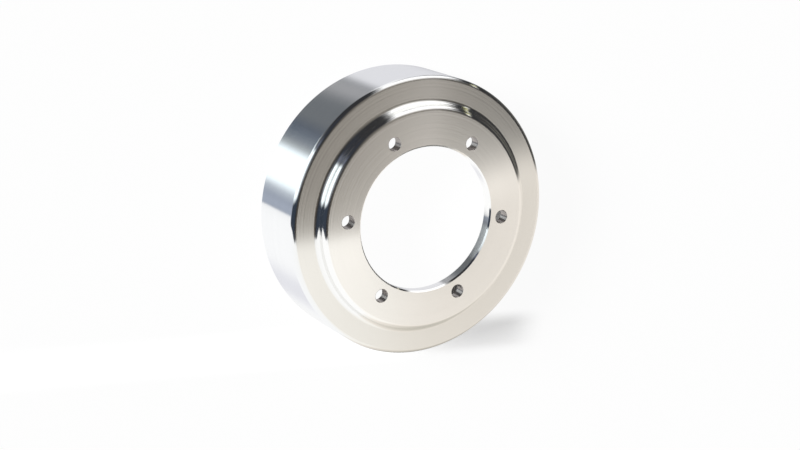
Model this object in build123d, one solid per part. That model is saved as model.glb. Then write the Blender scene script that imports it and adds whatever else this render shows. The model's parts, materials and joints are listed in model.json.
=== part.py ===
"""Fan drive pulley: a one-piece drum turned from aluminium, with a raised, bored and drilled hub face."""
from build123d import *
from math import acos, cos, degrees, sin
import os

# The pulley stands on the open edge of its rim, with its hub face up. Z is the axis of rotation and
# Z = 0 is the rim's open edge. Every size is in millimetres.

# Rim: the drum that the flat belt runs on.
rim_radius = 90.0
rim_depth = 46.0
rim_wall = 8.0
rim_edge_round = 3.0
rim_open_edge_chamfer = 0.6

# Web: the outer face that closes the front of the drum.
web_thickness = 7.3
web_to_rim_fillet = 4.0

# Hub recess: the shallow pocket behind the hub, which a fan hub's flange seats in. The web's ledge is
# the flat ring that is left between the pocket and the rim wall.
web_ledge_width = 12.0
recess_fillet = 2.0
recess_mouth_chamfer = 0.5

# Hub: the raised middle, joined to the outer face by a round and a cove. Its flat face ends a little
# inside the wall of the recess.
hub_face_inset = 1.3
hub_rise = 6.3
hub_round = 3.5
hub_cove = 3.5
hub_thickness = 7.4

# Bore and bolt circle.
bore_radius = 46.5
bore_face_chamfer = 0.9
bore_back_chamfer = 0.5
bolt_count = 6
bolt_circle_from_bore = 9.0
bolt_hole_radius = 4.2
bolt_hole_chamfer = 0.3

# Radii and heights that follow from the sizes above.
rim_inner_radius = rim_radius - rim_wall
recess_radius = rim_inner_radius - web_ledge_width
hub_face_radius = recess_radius - hub_face_inset
bolt_circle_radius = bore_radius + bolt_circle_from_bore
face_z = rim_depth
hub_z = face_z + hub_rise
web_back_z = face_z - web_thickness
recess_floor_z = hub_z - hub_thickness


def hub_step():
    """The edges from the hub face down to the outer face, and the radius at which they end.

    The round and the cove meet with a shared tangent. A rise greater than both of their radii has an
    upright wall between them.
    """
    turn = acos(max(0.0, 1.0 - hub_rise / (hub_round + hub_cove)))
    wall_height = hub_rise - (hub_round + hub_cove) * (1.0 - cos(turn))
    wall_radius = hub_face_radius + hub_round * sin(turn)
    cove_end_radius = wall_radius + hub_cove * sin(turn)
    edges = [
        CenterArc((hub_face_radius, hub_z - hub_round), hub_round, 90.0, -degrees(turn)),
        CenterArc((cove_end_radius, face_z + hub_cove), hub_cove, 270.0 - degrees(turn), degrees(turn)),
    ]
    if wall_height > 0.001:
        edges.append(Line(edges[0] @ 1, edges[1] @ 0))
    return edges, cove_end_radius


def at_corner(section, radius, height):
    """The corner of the section that lies nearest to a radius and height."""
    return section.vertices().sort_by_distance((radius, height))[0]


def half_section():
    """One side of the pulley's section: X is the radius and Y the height."""
    step_edges, step_end_radius = hub_step()
    rest_of_outline = Polyline(
        (step_end_radius, face_z),
        (rim_radius, face_z),
        (rim_radius, 0.0),
        (rim_inner_radius, 0.0),
        (rim_inner_radius, web_back_z),
        (recess_radius, web_back_z),
        (recess_radius, recess_floor_z),
        (bore_radius, recess_floor_z),
        (bore_radius, hub_z),
        (hub_face_radius, hub_z),
    )
    section = make_face(Curve() + [*step_edges, rest_of_outline])
    section = fillet(at_corner(section, rim_radius, face_z), rim_edge_round)
    section = fillet(at_corner(section, rim_inner_radius, web_back_z), web_to_rim_fillet)
    section = fillet(at_corner(section, recess_radius, recess_floor_z), recess_fillet)
    section = chamfer(at_corner(section, rim_radius, 0.0), rim_open_edge_chamfer)
    section = chamfer(at_corner(section, rim_inner_radius, 0.0), rim_open_edge_chamfer)
    section = chamfer(at_corner(section, recess_radius, web_back_z), recess_mouth_chamfer)
    section = chamfer(at_corner(section, bore_radius, recess_floor_z), bore_back_chamfer)
    return chamfer(at_corner(section, bore_radius, hub_z), bore_face_chamfer)


def bolt_hole():
    """The space cut by one bolt hole: a drilled hole through the hub, broken at both mouths."""
    drill = Cylinder(bolt_hole_radius, hub_thickness)
    mouth = Cone(bolt_hole_radius, bolt_hole_radius + bolt_hole_chamfer, bolt_hole_chamfer)
    to_mouth = Pos(0, 0, (hub_thickness - bolt_hole_chamfer) / 2)
    hole = drill + to_mouth * mouth + Rot(180, 0, 0) * to_mouth * mouth
    return Pos(0, 0, recess_floor_z + hub_thickness / 2) * hole


def pulley():
    """The turned blank with its bolt holes cut. The first hole lies on +X."""
    blank = revolve(Plane.XZ * half_section(), Axis.Z)
    holes = [bolt_hole().moved(place) for place in PolarLocations(bolt_circle_radius, bolt_count)]
    return blank - holes


os.makedirs("parts", exist_ok=True)
export_step(pulley(), "parts/pulley.step")
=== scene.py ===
"""Dresses a fan drive pulley, turned from one blank of aluminium, and sets the stage that it is seen on."""
import json
import math
from collections import namedtuple

import bpy
from bpy.props import FloatProperty, FloatVectorProperty, IntProperty, PointerProperty
from mathutils import Matrix, Vector


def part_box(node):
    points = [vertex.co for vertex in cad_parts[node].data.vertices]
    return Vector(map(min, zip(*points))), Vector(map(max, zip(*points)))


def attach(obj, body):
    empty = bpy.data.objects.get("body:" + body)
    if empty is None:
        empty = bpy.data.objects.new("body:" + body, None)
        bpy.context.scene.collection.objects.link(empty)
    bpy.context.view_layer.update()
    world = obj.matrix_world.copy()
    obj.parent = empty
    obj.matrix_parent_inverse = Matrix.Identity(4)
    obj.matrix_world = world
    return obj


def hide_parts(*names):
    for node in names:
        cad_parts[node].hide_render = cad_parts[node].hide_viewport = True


bl_info = {
    "name": "Fan Drive Pulley",
    "version": (1, 0, 0),
    "blender": (4, 5, 0),
    "location": "View3D > Sidebar > Pulley",
    "description": "Makes a turned aluminium fan drive pulley and the plain studio it is seen in",
    "category": "Add Mesh",
}

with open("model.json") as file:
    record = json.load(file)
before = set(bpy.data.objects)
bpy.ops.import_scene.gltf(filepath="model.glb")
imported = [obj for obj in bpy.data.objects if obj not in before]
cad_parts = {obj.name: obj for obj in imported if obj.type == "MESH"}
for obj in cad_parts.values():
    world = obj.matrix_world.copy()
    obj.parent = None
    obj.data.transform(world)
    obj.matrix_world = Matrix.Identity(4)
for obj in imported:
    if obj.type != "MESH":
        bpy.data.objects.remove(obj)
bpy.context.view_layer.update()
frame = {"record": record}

MM = 0.001
BODY = "root"
NODE = "pulley"


def mount(name):
    """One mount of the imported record."""
    return next(m for m in frame["record"]["mounts"] if m["name"] == name)


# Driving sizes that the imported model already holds.
RIM_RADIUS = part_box(NODE)[1].x
HUB_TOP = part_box(NODE)[1].z
BORE_RADIUS = mount("bore")["dims"]["r_mm"] * MM
BOLT_CIRCLE_RADIUS = mount("bolt_circle")["dims"]["pcd_mm"] / 2 * MM
BOLT_HOLE_RADIUS = mount("bolt_circle")["dims"]["hole_r_mm"] * MM
BOLT_COUNT = mount("bolt_circle")["dims"]["count"]
RECESS_FLOOR = mount("hub_seat")["pos_m"][2]

# The studio that the metal mirrors. Azimuth 0 looks straight out of the hub face and 90 to the picture's
# right, and elevation is towards the picture's top, both in degrees. A slope is how much the panel rises
# per degree of azimuth. A later panel lies over the earlier ones, and a strength of 1 is white.
Panel = namedtuple("Panel", "what azimuth elevation half_width half_height softness colour strength slope")
ROOM_COLOUR = "#333335"
ROOM = (
    Panel("wall over the window", -105, 35, 55, 7, 8, "#606266", 1.0, 0.0),
    Panel("wall behind the pulley", -170, 42, 16, 18, 8, "#45474A", 1.0, 0.0),
    Panel("wall on the right, in shade", 100, 6, 24, 20, 14, "#6C6A64", 1.0, 0.0),
    Panel("lit wall on the right", 159, 36, 27, 44, 15, "#E6E6EA", 1.0, 0.0),
    Panel("wall behind the camera", 22, 8, 13, 32, 13, "#8A857D", 1.0, 0.0),
    Panel("its left side", 0, 27, 9, 8, 8, "#68645F", 1.0, 0.0),
    Panel("shade low on that wall", 14, -10, 14, 7, 2, "#5E5851", 1.0, 0.0),
    Panel("fold in that wall", 30.8, 0, 0.8, 16, 1.8, "#ABA6A2", 1.0, 0.0),
    Panel("light falling on that wall", 23, 32, 8, 8, 7, "#D0CECA", 1.0, 0.0),
    Panel("lamp over the camera", 30, 41, 25, 7, 6, "#FAF8F6", 1.1, 0.0),
    Panel("strip lamp, its near part", 57, 29.3, 8, 1.2, 1.2, "#F6F6EC", 1.25, 0.8),
    Panel("strip lamp, its far part", 72, 36.9, 8, 0.8, 0.8, "#E2E084", 1.15, 0.12),
    Panel("strip lamp, its end", 90, 39, 10, 0.8, 0.8, "#C4C0BA", 1.0, 0.1),
    Panel("softbox overhead, its front", 56.5, 60, 55.5, 12, 4, "#FFFFFF", 1.3, 0.0),
    Panel("softbox overhead, its back", 49.5, 80, 67.5, 15, 5, "#FFFFFF", 1.2, 0.0),
    Panel("back corner of the softbox", 178, 80, 20, 26, 5, "#FFFFFF", 1.05, 0.6),
    Panel("top of the light tent", 0, 90, 180, 7, 3, "#FFFFFF", 1.05, 0.0),
    Panel("wall under the window", -76, -14, 46, 14, 8, "#363E4A", 1.0, 0.0),
    Panel("end of that wall, in the light", -166, -10, 38, 9, 13, "#ADB5C4", 1.0, 0.0),
    Panel("curtain beside the window", -36, 8, 14, 8, 7, "#8E9094", 1.0, 0.0),
    Panel("window on the left", -100.5, 13.3, 49.5, 16.4, 2.8, "#F2FBFF", 1.3, 0.04),
    Panel("wall over its right end", -52, 37.8, 28, 12, 3, "#34373E", 1.0, -0.22),
    Panel("light at the foot of that wall", -62, 31.5, 19, 2.5, 4, "#727888", 1.0, -0.15),
    Panel("window's lower left corner", -163, 4.9, 14, 7.7, 2.0, "#F2FBFF", 1.3, 0.0),
    Panel("corner of the wall beyond the window", -171, 26, 20, 12, 3, "#707478", 1.0, 0.0),
    Panel("lit edge of that corner", 176, 27, 5, 8, 5, "#A8A8AA", 1.0, 0.0),
    Panel("shade in that corner", -160, 18.6, 7, 3.4, 1.6, "#4C5666", 1.0, 0.0),
)
# The white table, and what makes parts of it less bright.
TABLE_COLOUR = "#FFFFFF"
TABLE_STRENGTH = 1.04
TABLE = (
    Panel("table near the camera", 76, -40, 58, 60, 9, "#FDFAF4", 1.04, 0.0),
    Panel("its right half, lit less", 88, -40, 57, 60, 3, "#F3ECE3", 1.0, 0.0),
    Panel("shade of the camera", 96, -50, 51, 17, 14, "#CFCABF", 1.0, 0.0),
    Panel("shade of the pulley", 126, -45, 21, 14, 9, "#9C9892", 1.0, 0.0),
    # Painted shade: a greyer patch on the far table.
    Panel("grey cloth at the back", 176, -31, 9, 6, 6, "#E8E8EE", 1.0, 0.0),
)
# The far edge of the table, as pairs of an azimuth and the elevation there.
HORIZON = (
    (-180, -12),
    (-150, -12.5),
    (-135, -15.5),
    (-118, -17.8),
    (-95, -19.5),
    (-70, -21.5),
    (-45, -23.5),
    (-25, -22.3),
    (-10, -19.3),
    (8, -16),
    (27, -12.5),
    (35, -8.2),
    (60, -2.0),
    (95, 1.0),
    (125, -4.0),
    (180, -12),
)
# The edge is sharp on the left, where the table is near, and softer on the right, and it changes between two
# azimuths. All are in degrees.
HORIZON_BLUR = 0.5
HORIZON_BLUR_RIGHT = 2.0
HORIZON_SOFTENS = (25, 50)

# The strip of paper beside the pulley's foot that shows its shadow: across it, where it begins and is full on
# the far side and on the near one, and along it, where it ends and is full. Then the direction to the lamp
# that casts the shadow.
SHADOW_STRIP = (-80 * MM, -92 * MM, -103 * MM, -113 * MM)
SHADOW_END = (140 * MM, 106 * MM)
LAMP_TOWARDS = (-0.861, 0.235, 0.450)
# The camera sees nothing that is nearer than this.
NEAREST_SEEN = 10 * MM
# The painted shade card: a glowing grey card in the drum's hollow, which the bore mirrors in place of the
# shade there. It is clear from the first share of its radius outwards, and full within the second.
CARD_PLACE = (12.5 * MM, -4.5 * MM, 0.5 * MM)
CARD_RADIUS = 13 * MM
CARD_SHADE_COLOUR = "#67696B"
CARD_CLEAR_FROM = 0.85
CARD_FULL_WITHIN = 0.42


def linear(hex_value):
    """The linear colour of an sRGB hex value."""
    channels = [int(hex_value[i : i + 2], 16) / 255 for i in (1, 3, 5)]
    return (*[c / 12.92 if c <= 0.04045 else ((c + 0.055) / 1.055) ** 2.4 for c in channels], 1.0)


def length(name, default, description):
    """A length that a user may change, in metres."""
    return FloatProperty(
        name=name, description=description, default=default, min=0.0, unit="LENGTH", precision=5
    )


def colour(name, default, description):
    """A colour that a user may change, with an sRGB hex value as its default."""
    return FloatVectorProperty(
        name=name, description=description, default=linear(default), size=4, min=0.0, max=1.0, subtype="COLOR"
    )


def factor(name, default, description):
    """A share from 0 to 1 that a user may change."""
    return FloatProperty(
        name=name, description=description, default=default, min=0.0, max=1.0, subtype="FACTOR"
    )


def angle(name, default, description):
    """An angle that a user may change, given here in degrees."""
    return FloatProperty(name=name, description=description, default=math.radians(default), unit="ROTATION")


class PulleySizes(bpy.types.PropertyGroup):
    """Sizes of the pulley. Radii are from the axis and heights from the rim's open edge."""

    rim_radius: length("Rim radius", RIM_RADIUS, "Radius of the cylinder that the belt runs on")
    hub_top: length("Hub top", HUB_TOP, "Height of the hub face")
    hub_rise: length("Hub rise", 6.3 * MM, "How far the hub face stands above the outer face")
    hub_thickness: length("Hub thickness", HUB_TOP - RECESS_FLOOR, "Thickness of the hub at the bore")
    web_thickness: length("Web thickness", 7.3 * MM, "Thickness of the outer face's wall")
    rim_wall: length("Rim wall", 8.0 * MM, "Thickness of the rim")
    ledge_width: length("Ledge width", 12.0 * MM, "Width of the flat ring between the rim and the recess")
    hub_face_inset: length("Hub face inset", 1.3 * MM, "How far the hub face ends inside the recess wall")
    bore_radius: length("Bore radius", BORE_RADIUS, "Radius of the bore")
    bore_face_break: length("Bore mouth chamfer", 0.9 * MM, "Chamfer between the bore and the hub face")
    rim_round: length("Rim round", 3.0 * MM, "Round between the rim and the outer face")
    hub_round: length("Hub round", 3.5 * MM, "Round at the edge of the hub face")
    hub_cove: length("Hub cove", 3.5 * MM, "Hollow round at the foot of the hub")
    inner_fillet: length("Inner fillet", 4.0 * MM, "Fillet between the rim and the web, inside")
    recess_fillet: length("Recess fillet", 2.0 * MM, "Fillet at the floor of the recess")
    rim_edge_break: length("Rim edge break", 0.6 * MM, "Chamfer on both corners of the rim's open edge")
    bore_edge_break: length("Rear edge break", 0.5 * MM, "Chamfer behind the bore and at the recess's mouth")
    bolt_circle: length("Bolt circle radius", BOLT_CIRCLE_RADIUS, "Radius of the circle of bolt holes")
    hole_radius: length("Hole radius", BOLT_HOLE_RADIUS, "Radius of a bolt hole")
    hole_edge_break: length("Hole edge break", 0.3 * MM, "Chamfer at both ends of a bolt hole")
    hole_count: IntProperty(
        name="Holes", description="Number of bolt holes", default=BOLT_COUNT, min=1, max=24
    )
    segments: IntProperty(
        name="Segments", description="Faces around the pulley", default=360, min=36, max=720
    )
    arc_steps: IntProperty(name="Arc steps", description="Faces across each round", default=16, min=4, max=32)
    hole_segments: IntProperty(
        name="Hole segments", description="Faces around a hole", default=64, min=12, max=128
    )


class PulleyFinish(bpy.types.PropertyGroup):
    """Colours and tool marks of the turned aluminium."""

    # The hub face's lighter colour is painted sheen: it stands in for the extra light that the hub face
    # catches.
    hub_metal: colour("Hub face", "#FAFAF9", "Colour of the hub face, which took a second, lighter cut")
    web_metal: colour("Outer face", "#F1F1EF", "Colour of the outer face")
    rim_metal: colour("Rim", "#F4F5F6", "Colour of the rim")
    # The holes' darker colour is painted shade in the holes. Their greater roughness is the drill's.
    hole_metal: colour("Bolt holes", "#C2BCB8", "Colour of the bolt holes, dulled by the drill's chips")
    # Inside the drum the darker colour is painted shade. The greater roughness is the rough turning.
    inner_metal: colour("Inside of the drum", "#C9C4C0", "Colour inside the drum, which was rough turned")
    roughness: factor("Roughness", 0.115, "Roughness of the turned faces")
    hub_roughness: factor("Hub roughness", 0.11, "Roughness of the hub face")
    inner_roughness: factor("Inner roughness", 0.8, "Roughness inside the drum, which was rough turned")
    hole_roughness: factor("Hole roughness", 0.32, "Roughness of the drilled bolt holes")
    grain: factor("Grain", 1.0, "How much rougher the metal is across the tool marks than along them")
    ring_spacing: length("Ring spacing", 1.1 * MM, "Spacing of the tool marks that show")
    ring_depth: length("Ring depth", 0.006 * MM, "Depth of the tool marks that show")


class PulleyStage(bpy.types.PropertyGroup):
    """The floor, the light and the camera."""

    floor_side: length("Floor side", 6.0, "Side of the square floor")
    backdrop: colour("Backdrop", "#FDFDFD", "Colour of the floor and of what is behind it")
    lamp_softness: angle("Lamp softness", 22.0, "Angle that the lamp fills, which softens the shadow")
    lamp_strength: FloatProperty(
        name="Lamp strength",
        description="Light on a facing surface, in watts per square metre",
        default=3.0,
        min=0.0,
    )
    tilt: angle("Studio tilt", 2.0, "Turn of the studio about the pulley's axis, against the first bolt hole")
    lens: FloatProperty(
        name="Lens", description="Focal length in millimetres", default=67.88, min=10.0, max=300.0
    )
    distance: length("Camera distance", 942.4 * MM, "From the camera to the point that it looks at")
    azimuth: angle("Camera azimuth", -114.29, "Direction of the camera round the pulley's axis")
    elevation: angle("Camera elevation", 57.38, "Height of the camera above the floor, as an angle")
    roll: angle("Camera roll", 115.95, "Turn of the camera about its line of sight")
    aim_x: FloatProperty(name="Aim X", description="Point looked at", default=-15.44 * MM, unit="LENGTH")
    aim_y: FloatProperty(name="Aim Y", description="Point looked at", default=-4.5 * MM, unit="LENGTH")


def add_node(tree, kind, inputs=(), **settings):
    """A new node with its settings. Each input is a value, a socket or a node, or a list of those."""
    node = tree.nodes.new(kind)
    for key, value in settings.items():
        setattr(node, key, value)
    sockets = [socket for socket in node.inputs if socket.enabled]
    for key, given in inputs.items() if isinstance(inputs, dict) else enumerate(inputs):
        socket = sockets[key] if isinstance(key, int) else next(s for s in sockets if s.name == key)
        for value in given if isinstance(given, list) else [given]:
            if isinstance(value, bpy.types.Node):
                value = next(output for output in value.outputs if output.enabled)
            if isinstance(value, bpy.types.NodeSocket):
                tree.links.new(value, socket)
            else:
                socket.default_value = value
    return node


def corner_points(before, corner, after, kind, size, steps):
    """What a corner of a section becomes when it is rounded or chamfered by a size."""
    to_before = (Vector(before) - Vector(corner)).normalized()
    to_after = (Vector(after) - Vector(corner)).normalized()
    if kind == "chamfer":
        return [Vector(corner) + to_before * size, Vector(corner) + to_after * size]
    half_angle = to_before.angle(to_after) / 2
    setback = size / math.tan(half_angle)
    middle = Vector(corner) + (to_before + to_after).normalized() * size / math.sin(half_angle)
    start = Vector(corner) + to_before * setback - middle
    turn = start.angle_signed(Vector(corner) + to_after * setback - middle)
    return [middle + Matrix.Rotation(-turn * i / steps, 2) @ start for i in range(steps + 1)]


# Points of the section that are nearer than this are one point.
SAME_POINT = MM / 1000


def section_points(sizes):
    """The outline of one side of the pulley's section, as points of radius and height."""
    face = sizes.hub_top - sizes.hub_rise
    web_back = face - sizes.web_thickness
    recess_floor = sizes.hub_top - sizes.hub_thickness
    rim_inside = sizes.rim_radius - sizes.rim_wall
    recess = rim_inside - sizes.ledge_width
    hub_face = recess - sizes.hub_face_inset
    turn = math.acos(1 - sizes.hub_rise / (sizes.hub_round + sizes.hub_cove))
    cove_end = hub_face + (sizes.hub_round + sizes.hub_cove) * math.sin(turn)
    corners = [
        (sizes.bore_radius, sizes.hub_top, "chamfer", sizes.bore_face_break),
        (hub_face + sizes.hub_round * math.tan(turn / 2), sizes.hub_top, "round", sizes.hub_round),
        (cove_end - sizes.hub_cove * math.tan(turn / 2), face, "round", sizes.hub_cove),
        (sizes.rim_radius, face, "round", sizes.rim_round),
        (sizes.rim_radius, 0.0, "chamfer", sizes.rim_edge_break),
        (rim_inside, 0.0, "chamfer", sizes.rim_edge_break),
        (rim_inside, web_back, "round", sizes.inner_fillet),
        (recess, web_back, "chamfer", sizes.bore_edge_break),
        (recess, recess_floor, "round", sizes.recess_fillet),
        (sizes.bore_radius, recess_floor, "chamfer", sizes.bore_edge_break),
    ]
    points = []
    for i, (radius, height, kind, size) in enumerate(corners):
        before, after = corners[i - 1][:2], corners[(i + 1) % len(corners)][:2]
        points += corner_points(before, (radius, height), after, kind, size, sizes.arc_steps)
    return [p for i, p in enumerate(points) if (p - points[i - 1]).length > SAME_POINT]


LATHE_INPUTS = {
    "Section": "NodeSocketGeometry",
    "Segments": "NodeSocketInt",
    "Bore radius": "NodeSocketFloat",
    "Hole count": "NodeSocketInt",
    "Hole circle radius": "NodeSocketFloat",
    "Hole radius": "NodeSocketFloat",
    "Hole edge break": "NodeSocketFloat",
    "Hole segments": "NodeSocketInt",
    "Hub top": "NodeSocketFloat",
    "Hub thickness": "NodeSocketFloat",
    "Finish": "NodeSocketMaterial",
}
# How far a drill's cutter goes past both faces, and the bend past which an edge is sharp.
CUTTER_OVERRUN = 1.0 * MM
SHARP_ANGLE = math.radians(30)
# The attribute that marks the faces of the bolt holes.
DRILLED = "drilled"


def lathe_tree():
    """Geometry nodes that turn a section round the Z axis, drill a ring of holes and set the finish."""
    tree = bpy.data.node_groups.new("turned_and_drilled", "GeometryNodeTree")
    for name, kind in LATHE_INPUTS.items():
        tree.interface.new_socket(name, in_out="INPUT", socket_type=kind)
    tree.interface.new_socket("Pulley", in_out="OUTPUT", socket_type="NodeSocketGeometry")
    given = add_node(tree, "NodeGroupInput").outputs

    section = add_node(tree, "GeometryNodeMeshToCurve", {"Mesh": given["Section"]})
    circle = {"Resolution": given["Segments"], "Radius": given["Bore radius"]}
    path = add_node(tree, "GeometryNodeCurvePrimitiveCircle", circle)
    blank = add_node(tree, "GeometryNodeCurveToMesh", {"Curve": path, "Profile Curve": section})

    # One cutter is a drill with a countersink at each end. All of it marks the faces that it cuts.
    top, thickness = given["Hub top"], given["Hub thickness"]
    narrow, edge_break = given["Hole radius"], given["Hole edge break"]
    floor = add_node(tree, "ShaderNodeMath", (top, thickness), operation="SUBTRACT")
    middle = add_node(tree, "ShaderNodeMath", (thickness, 0.5, floor), operation="MULTIPLY_ADD")
    deep = add_node(tree, "ShaderNodeMath", (thickness, 2 * CUTTER_OVERRUN), operation="ADD")
    drill = {"Vertices": given["Hole segments"], "Radius": narrow, "Depth": deep}
    cone_height = add_node(tree, "ShaderNodeMath", (edge_break, CUTTER_OVERRUN), operation="ADD")
    wide = add_node(tree, "ShaderNodeMath", (narrow, cone_height), operation="ADD")
    upper = add_node(tree, "ShaderNodeMath", (top, edge_break), operation="SUBTRACT")
    lower = add_node(tree, "ShaderNodeMath", (floor, CUTTER_OVERRUN), operation="SUBTRACT")
    cone = {"Vertices": given["Hole segments"], "Depth": cone_height}
    upper_cone = {"Radius Top": wide, "Radius Bottom": narrow, **cone}
    lower_cone = {"Radius Top": narrow, "Radius Bottom": wide, **cone}
    cutter_parts = []
    for kind, form_sizes, height in (
        ("GeometryNodeMeshCylinder", drill, middle),
        ("GeometryNodeMeshCone", upper_cone, upper),
        ("GeometryNodeMeshCone", lower_cone, lower),
    ):
        form = add_node(tree, kind, form_sizes)
        place = add_node(tree, "ShaderNodeCombineXYZ", {"Z": height})
        cutter_parts.append(add_node(tree, "GeometryNodeTransform", {"Geometry": form, "Translation": place}))
    cutter = add_node(
        tree, "GeometryNodeMeshBoolean", {"Mesh": cutter_parts}, operation="UNION", solver="EXACT"
    )
    marked = add_node(
        tree,
        "GeometryNodeStoreNamedAttribute",
        {"Geometry": cutter, "Name": DRILLED, "Value": 1.0},
        data_type="FLOAT",
        domain="FACE",
    )
    ring_sizes = {"Vertices": given["Hole count"], "Radius": given["Hole circle radius"]}
    ring = add_node(tree, "GeometryNodeMeshCircle", ring_sizes)
    cutters = add_node(tree, "GeometryNodeInstanceOnPoints", {"Points": ring, "Instance": marked})
    cutters = add_node(tree, "GeometryNodeRealizeInstances", {"Geometry": cutters})
    drilled = add_node(
        tree,
        "GeometryNodeMeshBoolean",
        {"Mesh 1": blank, "Mesh 2": cutters},
        operation="DIFFERENCE",
        solver="EXACT",
    )

    smooth = add_node(tree, "GeometryNodeSetShadeSmooth", {"Geometry": drilled, "Shade Smooth": True})
    bend = add_node(tree, "GeometryNodeInputMeshEdgeAngle").outputs["Unsigned Angle"]
    steep = add_node(tree, "ShaderNodeMath", (bend, SHARP_ANGLE), operation="GREATER_THAN")
    sharp = add_node(
        tree,
        "GeometryNodeSetShadeSmooth",
        {"Geometry": smooth, "Selection": steep, "Shade Smooth": False},
        domain="EDGE",
    )
    real = add_node(tree, "GeometryNodeRealizeInstances", {"Geometry": sharp})
    finished = add_node(tree, "GeometryNodeSetMaterial", {"Geometry": real, "Material": given["Finish"]})
    add_node(tree, "NodeGroupOutput", {"Pulley": finished})
    return tree


# How much the tool marks, the broader bands between them and faint smudges change the brightness, and how
# much the marks change the roughness.
RING_TONE = 0.05
BAND_TONE = 0.03
SMUDGE_TONE = 0.02
RING_GLOSS = 0.04
BAND_WIDTH = 9 * MM
SMUDGE_SIZE = 14 * MM
# How many times as deep the marks of the rough cut and of the drill are as those of the finishing cut.
ROUGH_CUT = 5
DRILL_CUT = 14
# The inside of the drum takes in the faces that bound it by reaching this far past them.
JUST_PAST = 0.1 * MM
# A quarter turn, as a share of a turn, sets the metal's grain along the tool marks.
QUARTER_TURN = 0.25


def turned_aluminium(sizes, finish):
    """Freshly turned aluminium, machined on a lathe: bright bare metal with fine rings of tool marks.

    The rings stretch each reflection across them, so light and dark meet sharply along a radius. The real
    marks are about 0.2 mm apart. They are drawn about five times as far apart, so that they show at all.
    """
    material = bpy.data.materials.new("turned_aluminium")
    material.use_nodes = True
    tree = material.node_tree
    tree.nodes.clear()

    place = add_node(tree, "ShaderNodeTexCoord").outputs["Object"]
    axes = add_node(tree, "ShaderNodeSeparateXYZ", (place,)).outputs
    outwards = add_node(tree, "ShaderNodeCombineXYZ", {"X": axes["X"], "Y": axes["Y"]})
    radius = add_node(tree, "ShaderNodeVectorMath", (outwards,), operation="LENGTH")
    drilled = add_node(tree, "ShaderNodeAttribute", attribute_name=DRILLED).outputs["Fac"]

    # Shares of the hub face, the rim and the inside of the drum, each 1 there and 0 elsewhere.
    rim_inside = sizes.rim_radius - sizes.rim_wall
    hub_edge = rim_inside - sizes.ledge_width - sizes.hub_face_inset + sizes.hub_round
    hub = add_node(
        tree,
        "ShaderNodeMapRange",
        {"Value": radius, "From Min": hub_edge + sizes.hub_cove, "From Max": hub_edge},
    )
    rim = add_node(
        tree,
        "ShaderNodeMapRange",
        {"Value": radius, "From Min": sizes.rim_radius - sizes.rim_round, "From Max": sizes.rim_radius},
    )
    recess_floor = sizes.hub_top - sizes.hub_thickness
    within = add_node(tree, "ShaderNodeMath", (radius, rim_inside + JUST_PAST), operation="LESS_THAN")
    behind = add_node(tree, "ShaderNodeMath", (axes["Z"], recess_floor + JUST_PAST), operation="LESS_THAN")
    inner = add_node(tree, "ShaderNodeMath", (within, behind), operation="MULTIPLY")

    # Radius less height is the tool's way over the section. A drill's way is along the axis alone.
    way = add_node(tree, "ShaderNodeMath", (radius, axes["Z"]), operation="SUBTRACT")
    sideways = add_node(tree, "ShaderNodeMath", (radius, drilled), operation="MULTIPLY")
    way = add_node(tree, "ShaderNodeMath", (way, sideways), operation="SUBTRACT")
    rings = add_node(
        tree,
        "ShaderNodeTexNoise",
        {"W": way, "Scale": 1 / finish.ring_spacing, "Detail": 2.0, "Roughness": 0.6},
        noise_dimensions="1D",
    )
    bands = add_node(
        tree, "ShaderNodeTexNoise", {"W": way, "Scale": 1 / BAND_WIDTH, "Detail": 1.0}, noise_dimensions="1D"
    )
    smudges = add_node(tree, "ShaderNodeTexNoise", {"Vector": place, "Scale": 1 / SMUDGE_SIZE, "Detail": 3.0})

    # The hub face's lighter colour paints its sheen. Inside the drum and in the holes, darker colours paint
    # the shade there.
    metal = add_node(tree, "ShaderNodeMix", (hub, finish.web_metal, finish.hub_metal), data_type="RGBA")
    metal = add_node(tree, "ShaderNodeMix", (rim, metal, finish.rim_metal), data_type="RGBA")
    metal = add_node(tree, "ShaderNodeMix", (inner, metal, finish.inner_metal), data_type="RGBA")
    metal = add_node(tree, "ShaderNodeMix", (drilled, metal, finish.hole_metal), data_type="RGBA")
    tone = 1 - (RING_TONE + BAND_TONE + SMUDGE_TONE) / 2
    for pattern, share in ((rings, RING_TONE), (bands, BAND_TONE), (smudges, SMUDGE_TONE)):
        tone = add_node(tree, "ShaderNodeMath", (pattern, share, tone), operation="MULTIPLY_ADD")
    metal = add_node(tree, "ShaderNodeVectorMath", {"Vector": metal, "Scale": tone}, operation="SCALE")

    roughness = finish.roughness - RING_GLOSS / 2
    depth = 1.0
    for share, more_rough, more_deep in (
        (rings, RING_GLOSS, 0),
        (hub, finish.hub_roughness - finish.roughness, 0),
        (inner, finish.inner_roughness - finish.roughness, ROUGH_CUT - 1),
        (drilled, finish.hole_roughness - finish.roughness, DRILL_CUT - 1),
    ):
        roughness = add_node(tree, "ShaderNodeMath", (share, more_rough, roughness), operation="MULTIPLY_ADD")
        if more_deep:
            depth = add_node(tree, "ShaderNodeMath", (share, more_deep, depth), operation="MULTIPLY_ADD")
    height = add_node(tree, "ShaderNodeMath", (rings, depth), operation="MULTIPLY")
    marks = add_node(tree, "ShaderNodeBump", {"Distance": finish.ring_depth, "Height": height})

    around = add_node(tree, "ShaderNodeTangent", direction_type="RADIAL", axis="Z")
    shader = add_node(
        tree,
        "ShaderNodeBsdfPrincipled",
        {
            "Base Color": metal,
            "Metallic": 1.0,
            "Roughness": roughness,
            "Anisotropic": finish.grain,
            "Anisotropic Rotation": QUARTER_TURN,
            "Normal": marks,
            "Tangent": around,
        },
    )
    add_node(tree, "ShaderNodeOutputMaterial", {"Surface": shader})
    return material


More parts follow.
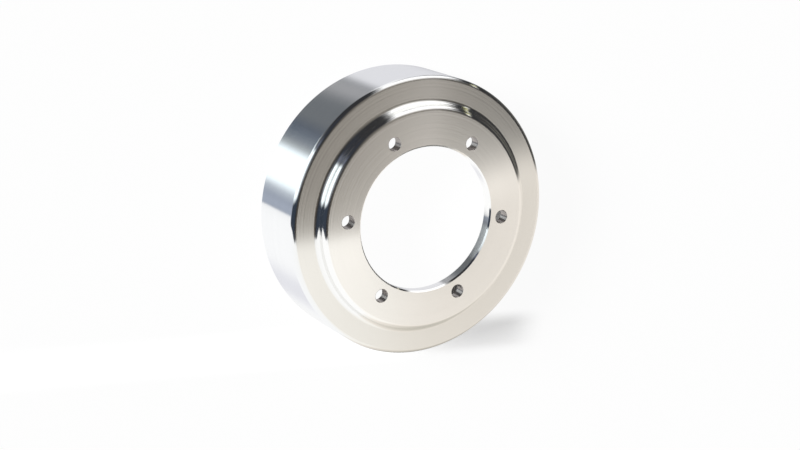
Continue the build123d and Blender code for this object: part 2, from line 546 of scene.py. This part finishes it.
class PULLEY_OT_turn_body(bpy.types.Operator):
    """Turn and drill the pulley, and put it in place of the plain solid"""

    bl_idname = "pulley.turn_body"
    bl_label = "Turn the pulley"

    def execute(self, context):
        sizes = context.scene.pulley_sizes
        points = section_points(sizes)
        mesh = bpy.data.meshes.new("pulley_section")
        # Sweeping a section round a circle turns its Y downwards, and measures its X from the circle.
        places = [(p.x - sizes.bore_radius, -p.y, 0.0) for p in points]
        mesh.from_pydata(places, [(i, (i + 1) % len(points)) for i in range(len(points))], [])
        section = bpy.data.objects.new("pulley_section", mesh)
        context.scene.collection.objects.link(section)
        tree = lathe_tree()
        lathe = section.modifiers.new("lathe", "NODES")
        lathe.node_group = tree
        values = {
            "Segments": sizes.segments,
            "Bore radius": sizes.bore_radius,
            "Hole count": sizes.hole_count,
            "Hole circle radius": sizes.bolt_circle,
            "Hole radius": sizes.hole_radius,
            "Hole edge break": sizes.hole_edge_break,
            "Hole segments": sizes.hole_segments,
            "Hub top": sizes.hub_top,
            "Hub thickness": sizes.hub_thickness,
            "Finish": turned_aluminium(sizes, context.scene.pulley_finish),
        }
        for item in tree.interface.items_tree:
            if item.in_out == "INPUT" and item.name in values:
                lathe[item.identifier] = values[item.name]
        # Large flats keep their own direction at an edge, so that they mirror as flats.
        weigh = section.modifiers.new("flats_stay_flat", "WEIGHTED_NORMAL")
        weigh.keep_sharp = True
        graph = context.evaluated_depsgraph_get()
        made = bpy.data.meshes.new_from_object(
            section.evaluated_get(graph), preserve_all_data_layers=True, depsgraph=graph
        )
        bpy.data.objects.remove(section)
        made.name = "pulley_body"
        body = bpy.data.objects.new("pulley_body", made)
        context.scene.collection.objects.link(body)
        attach(body, BODY)
        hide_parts(NODE)
        return {"FINISHED"}


def lay_panels(tree, seen, panels, azimuth, elevation):
    """Lays soft-edged panels over a colour, each at its own azimuth and elevation."""
    for panel in panels:
        aside = add_node(tree, "ShaderNodeMath", (azimuth, panel.azimuth), operation="SUBTRACT")
        aside = add_node(tree, "ShaderNodeMath", (aside, 180, -180), operation="WRAP")
        rise = (aside, panel.slope, panel.elevation)
        middle = add_node(tree, "ShaderNodeMath", rise, operation="MULTIPLY_ADD")
        above = add_node(tree, "ShaderNodeMath", (elevation, middle), operation="SUBTRACT")
        shares = []
        for offset, half in ((aside, panel.half_width), (above, panel.half_height)):
            far = add_node(tree, "ShaderNodeMath", (offset,), operation="ABSOLUTE")
            edge = {"Value": far, "From Min": half + panel.softness, "From Max": half - panel.softness}
            shares.append(add_node(tree, "ShaderNodeMapRange", edge, interpolation_type="SMOOTHSTEP"))
        inside = add_node(tree, "ShaderNodeMath", shares, operation="MULTIPLY")
        bright = tuple(channel * panel.strength for channel in linear(panel.colour))
        seen = add_node(tree, "ShaderNodeMix", (inside, seen, bright), data_type="RGBA")
    return seen


def surroundings(stage):
    """The studio as a world: what the metal mirrors, behind a plain backdrop for the camera."""
    world = bpy.data.worlds.new("studio")
    world.use_nodes = True
    tree = world.node_tree
    tree.nodes.clear()

    look = add_node(tree, "ShaderNodeTexCoord").outputs["Generated"]
    level = add_node(
        tree, "ShaderNodeVectorRotate", {"Vector": look, "Angle": stage.tilt}, rotation_type="Z_AXIS"
    )
    axes = add_node(tree, "ShaderNodeSeparateXYZ", (level,)).outputs
    turn = add_node(tree, "ShaderNodeMath", (axes["X"], axes["Z"]), operation="ARCTAN2")
    azimuth = add_node(tree, "ShaderNodeMath", (turn,), operation="DEGREES")
    rise = add_node(tree, "ShaderNodeMath", (axes["Y"],), operation="ARCSINE")
    elevation = add_node(tree, "ShaderNodeMath", (rise,), operation="DEGREES")

    room = lay_panels(tree, linear(ROOM_COLOUR), ROOM, azimuth, elevation)
    bare_table = tuple(channel * TABLE_STRENGTH for channel in linear(TABLE_COLOUR))
    table = lay_panels(tree, bare_table, TABLE, azimuth, elevation)

    around = add_node(tree, "ShaderNodeMapRange", {"Value": azimuth, "From Min": -180, "From Max": 180})
    curve = add_node(tree, "ShaderNodeFloatCurve", {"Value": around})
    line = curve.mapping.curves[0].points
    for _ in HORIZON[2:]:
        line.new(0.5, 0.5)
    for point, (at, height) in zip(line, HORIZON):
        point.location = ((at + 180) / 360, (height + 90) / 180)
    curve.mapping.update()
    horizon = add_node(tree, "ShaderNodeMath", (curve, 180, -90), operation="MULTIPLY_ADD")
    softer_from, softest_from = HORIZON_SOFTENS
    blur = add_node(
        tree,
        "ShaderNodeMapRange",
        {
            "Value": azimuth,
            "From Min": softer_from,
            "From Max": softest_from,
            "To Min": HORIZON_BLUR,
            "To Max": HORIZON_BLUR_RIGHT,
        },
        interpolation_type="SMOOTHSTEP",
    )
    above = add_node(tree, "ShaderNodeMath", (elevation, horizon), operation="SUBTRACT")
    above = add_node(tree, "ShaderNodeMath", (above, blur), operation="DIVIDE")
    on_table = add_node(
        tree,
        "ShaderNodeMapRange",
        {"Value": above, "From Min": 1, "From Max": -1},
        interpolation_type="SMOOTHSTEP",
    )
    studio = add_node(tree, "ShaderNodeMix", (on_table, room, table), data_type="RGBA")

    path = add_node(tree, "ShaderNodeLightPath").outputs
    seen = add_node(tree, "ShaderNodeMix", (path["Is Camera Ray"], studio, stage.backdrop), data_type="RGBA")
    # The paper takes its light from the lamp alone, so that no grey halo lies round the pulley.
    strength = add_node(tree, "ShaderNodeMath", (1.0, path["Is Diffuse Ray"]), operation="SUBTRACT")
    light = add_node(tree, "ShaderNodeBackground", {"Color": seen, "Strength": strength})
    add_node(tree, "ShaderNodeOutputWorld", {"Surface": light})
    return world


# How brightly the paper glows in the drum's hollow, elsewhere, and in the strip that shows the shadow. Lit
# paper reaches white everywhere, because the lamp adds what the glow leaves.
HOLLOW_GLOW = 0.99
PAPER_GLOW = 0.97
SHADOW_GLOW = 0.60
PAPER_COLOUR = "#4E4E4E"
SHADOW_COLOUR = "#F8F8F8"


def pale_floor(stage, hollow_radius):
    """A matt white sheet of paper, lit from behind: white to the camera, with the pulley's soft shadow.

    It glows fully in the drum's hollow, where a backdrop that stands far behind would not be in shade.
    """
    material = bpy.data.materials.new("matt_white_paper")
    material.use_nodes = True
    tree = material.node_tree
    tree.nodes.clear()
    place = add_node(tree, "ShaderNodeTexCoord").outputs["Object"]
    along, across, _ = add_node(tree, "ShaderNodeSeparateXYZ", (place,)).outputs
    radius = add_node(tree, "ShaderNodeVectorMath", (place,), operation="LENGTH")
    hollow = add_node(
        tree,
        "ShaderNodeMapRange",
        {"Value": radius, "From Min": hollow_radius + MM, "From Max": hollow_radius},
    )
    far_out, far_in, near_in, near_out = SHADOW_STRIP
    edges = [
        add_node(
            tree,
            "ShaderNodeMapRange",
            {"Value": way, "From Min": start, "From Max": end},
            interpolation_type="SMOOTHSTEP",
        )
        for way, start, end in ((across, far_out, far_in), (across, near_out, near_in), (along, *SHADOW_END))
    ]
    strip = add_node(tree, "ShaderNodeMath", edges[:2], operation="MULTIPLY")
    strip = add_node(tree, "ShaderNodeMath", (strip, edges[2]), operation="MULTIPLY")
    glow = add_node(tree, "ShaderNodeMix", (strip, PAPER_GLOW, SHADOW_GLOW), data_type="FLOAT")
    glow = add_node(tree, "ShaderNodeMix", (hollow, glow, HOLLOW_GLOW), data_type="FLOAT")
    camera_ray = add_node(tree, "ShaderNodeLightPath").outputs["Is Camera Ray"]
    seen = add_node(tree, "ShaderNodeMath", (glow, camera_ray), operation="MULTIPLY")
    tint = add_node(
        tree, "ShaderNodeMix", (strip, linear(PAPER_COLOUR), linear(SHADOW_COLOUR)), data_type="RGBA"
    )
    paper = add_node(tree, "ShaderNodeBsdfDiffuse", {"Color": tint})
    light = add_node(tree, "ShaderNodeEmission", {"Color": stage.backdrop, "Strength": seen})
    both = add_node(tree, "ShaderNodeAddShader", (paper, light))
    add_node(tree, "ShaderNodeOutputMaterial", {"Surface": both})
    return material


def grey_card():
    """Painted shade: a soft-edged glowing grey card that the bore mirrors, in place of the drum's shade."""
    material = bpy.data.materials.new("grey_card")
    material.use_nodes = True
    tree = material.node_tree
    tree.nodes.clear()
    place = add_node(tree, "ShaderNodeTexCoord").outputs["Object"]
    from_middle = add_node(tree, "ShaderNodeVectorMath", (place, CARD_PLACE), operation="DISTANCE")
    edge = {
        "Value": from_middle,
        "From Min": CARD_RADIUS * CARD_CLEAR_FROM,
        "From Max": CARD_RADIUS * CARD_FULL_WITHIN,
    }
    there = add_node(tree, "ShaderNodeMapRange", edge, interpolation_type="SMOOTHSTEP")
    clear = add_node(tree, "ShaderNodeBsdfTransparent")
    grey = add_node(tree, "ShaderNodeEmission", {"Color": linear(CARD_SHADE_COLOUR)})
    both = add_node(tree, "ShaderNodeMixShader", (there, clear, grey))
    add_node(tree, "ShaderNodeOutputMaterial", {"Surface": both})
    return material


def sheet(name, middle, half_width, material):
    """A square sheet that lies flat, as part of the stage."""
    x, y, z = middle
    corners = [(x + i * half_width, y + j * half_width, z) for i, j in ((-1, -1), (1, -1), (1, 1), (-1, 1))]
    mesh = bpy.data.meshes.new(name)
    mesh.from_pydata(corners, [], [(0, 1, 2, 3)])
    mesh.materials.append(material)
    made = bpy.data.objects.new(name, mesh)
    bpy.context.scene.collection.objects.link(made)
    return made


def camera_turn(stage):
    """The camera's turn, and the direction from the point that it looks at to the camera."""
    flat = math.cos(stage.elevation)
    x, y = math.sin(stage.azimuth) * flat, -math.cos(stage.azimuth) * flat
    back = Vector((x, y, math.sin(stage.elevation)))
    right = Vector((0, 0, 1)).cross(back).normalized()
    upright = Matrix((right, back.cross(right), back)).transposed()
    return upright @ Matrix.Rotation(stage.roll, 3, "Z"), back


class PULLEY_OT_set_stage(bpy.types.Operator):
    """Lay the floor, light the studio and place the camera"""

    bl_idname = "pulley.set_stage"
    bl_label = "Set the stage"

    def execute(self, context):
        scene = context.scene
        stage = scene.pulley_stage
        sizes = scene.pulley_sizes
        paper = pale_floor(stage, sizes.rim_radius - sizes.rim_wall)
        floor = sheet("floor", (0, 0, 0), stage.floor_side / 2, paper)
        # The metal mirrors the studio past the floor, as it does where a pulley stands free on its rim.
        floor.visible_glossy = False
        # The painted shade card, in the drum's hollow, which only the metal sees.
        card = sheet("grey_card", CARD_PLACE, CARD_RADIUS, grey_card())
        card.visible_camera = False
        card.visible_diffuse = False
        card.visible_shadow = False

        scene.world = surroundings(stage)

        # A soft lamp from the upper left casts the shadow. The metal mirrors the studio's panels instead.
        lamp = bpy.data.objects.new("soft_lamp", bpy.data.lights.new("soft_lamp", "SUN"))
        scene.collection.objects.link(lamp)
        lamp.data.energy = stage.lamp_strength
        lamp.data.angle = stage.lamp_softness
        lamp.rotation_euler = Vector(LAMP_TOWARDS).to_track_quat("Z", "Y").to_euler()
        lamp.visible_glossy = False

        camera = bpy.data.objects.new("camera", bpy.data.cameras.new("camera"))
        scene.collection.objects.link(camera)
        turn, back = camera_turn(stage)
        aim = Vector((stage.aim_x, stage.aim_y, sizes.hub_top - sizes.hub_rise))
        camera.matrix_world = Matrix.Translation(aim + back * stage.distance) @ turn.to_4x4()
        camera.data.lens = stage.lens
        camera.data.clip_start = NEAREST_SEEN
        scene.camera = camera
        scene.view_settings.view_transform = "Standard"
        return {"FINISHED"}


class PULLEY_PT_sidebar(bpy.types.Panel):
    """Lists the pulley's sizes and the operators that make it"""

    bl_label = "Fan drive pulley"
    bl_space_type = "VIEW_3D"
    bl_region_type = "UI"
    bl_category = "Pulley"

    def draw(self, context):
        for settings, operator in (
            (context.scene.pulley_sizes, PULLEY_OT_turn_body),
            (context.scene.pulley_finish, None),
            (context.scene.pulley_stage, PULLEY_OT_set_stage),
        ):
            box = self.layout.box()
            for name in settings.__annotations__:
                box.prop(settings, name)
            if operator:
                box.operator(operator.bl_idname)


CLASSES = (
    PulleySizes,
    PulleyFinish,
    PulleyStage,
    PULLEY_OT_turn_body,
    PULLEY_OT_set_stage,
    PULLEY_PT_sidebar,
)


def register():
    """Adds the add-on's classes and its settings."""
    for cls in CLASSES:
        bpy.utils.register_class(cls)
    bpy.types.Scene.pulley_sizes = PointerProperty(type=PulleySizes)
    bpy.types.Scene.pulley_finish = PointerProperty(type=PulleyFinish)
    bpy.types.Scene.pulley_stage = PointerProperty(type=PulleyStage)


def unregister():
    """Takes the add-on's settings and classes away again."""
    del bpy.types.Scene.pulley_stage, bpy.types.Scene.pulley_finish, bpy.types.Scene.pulley_sizes
    for cls in reversed(CLASSES):
        bpy.utils.unregister_class(cls)


def main():
    """Makes the pulley and its stage."""
    register()
    bpy.ops.pulley.turn_body()
    bpy.ops.pulley.set_stage()


if __name__ == "__main__":
    main()
